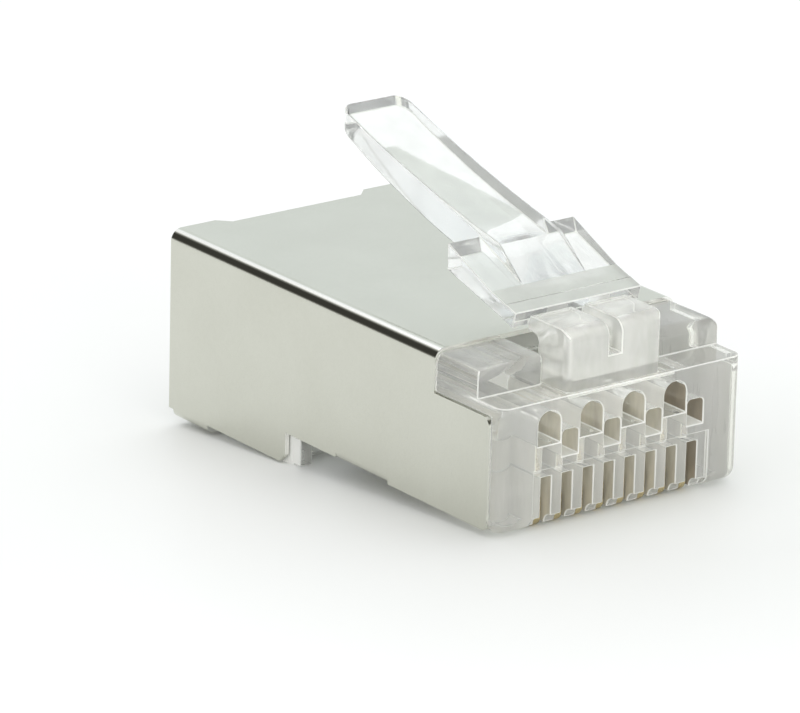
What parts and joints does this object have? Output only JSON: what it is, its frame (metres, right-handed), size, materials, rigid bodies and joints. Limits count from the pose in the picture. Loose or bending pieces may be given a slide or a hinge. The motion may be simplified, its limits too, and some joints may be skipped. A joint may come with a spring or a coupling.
{
  "type": "rj45 modular plug",
  "caption": "Shielded modular plug before crimping: clear moulded body with a raised locking latch, folded nickel shield, gold contact blades and staggered wire holes open at the nose.",
  "frame": {"origin": "middle of the plug's footprint, level with the underside of the shield at the cable end", "axes": "+Z to the latch side, -Y out of the mating nose, X across the contacts"},
  "size_m": [0.0116, 0.0214, 0.0136],
  "materials": {
    "clear_plastic": "clear moulded polycarbonate",
    "nickel_sheet": "nickel-plated brass sheet, satin",
    "gold_plate": "gold-plated copper alloy"
  },
  "bodies": {
    "housing": {"housing": "clear_plastic", "shield": "nickel_sheet"},
    "latch": {"latch": "clear_plastic"},
    "strain_relief_bar": {"strain_relief_bar": "clear_plastic"},
    "contact_1": {"contact_1": "gold_plate"},
    "contact_2": {"contact_2": "gold_plate"},
    "contact_3": {"contact_3": "gold_plate"},
    "contact_4": {"contact_4": "gold_plate"},
    "contact_5": {"contact_5": "gold_plate"},
    "contact_6": {"contact_6": "gold_plate"},
    "contact_7": {"contact_7": "gold_plate"},
    "contact_8": {"contact_8": "gold_plate"}
  },
  "joints": [
    {"name": "latch_hinge", "type": "hinge", "parent": "housing", "child": "latch", "pos_m": [0, -0.00743, 0.00888], "axis": [-1, 0, 0], "range_deg": [0, 18], "stiffness_Nm_per_rad": 0.15},
    {"name": "strain_relief_hinge", "type": "hinge", "parent": "housing", "child": "strain_relief_bar", "pos_m": [0, 0.00012, 0.00205], "axis": [1, 0, 0], "range_deg": [0, 30]},
    {"name": "contact_1_crimp", "type": "slide", "parent": "housing", "child": "contact_1", "axis": [0, 0, 1], "range_m": [0, 0.00074]},
    {"name": "contact_2_crimp", "type": "slide", "parent": "housing", "child": "contact_2", "axis": [0, 0, 1], "range_m": [0, 0.00074]},
    {"name": "contact_3_crimp", "type": "slide", "parent": "housing", "child": "contact_3", "axis": [0, 0, 1], "range_m": [0, 0.00074]},
    {"name": "contact_4_crimp", "type": "slide", "parent": "housing", "child": "contact_4", "axis": [0, 0, 1], "range_m": [0, 0.00074]},
    {"name": "contact_5_crimp", "type": "slide", "parent": "housing", "child": "contact_5", "axis": [0, 0, 1], "range_m": [0, 0.00074]},
    {"name": "contact_6_crimp", "type": "slide", "parent": "housing", "child": "contact_6", "axis": [0, 0, 1], "range_m": [0, 0.00074]},
    {"name": "contact_7_crimp", "type": "slide", "parent": "housing", "child": "contact_7", "axis": [0, 0, 1], "range_m": [0, 0.00074]},
    {"name": "contact_8_crimp", "type": "slide", "parent": "housing", "child": "contact_8", "axis": [0, 0, 1], "range_m": [0, 0.00074]}
  ]
}
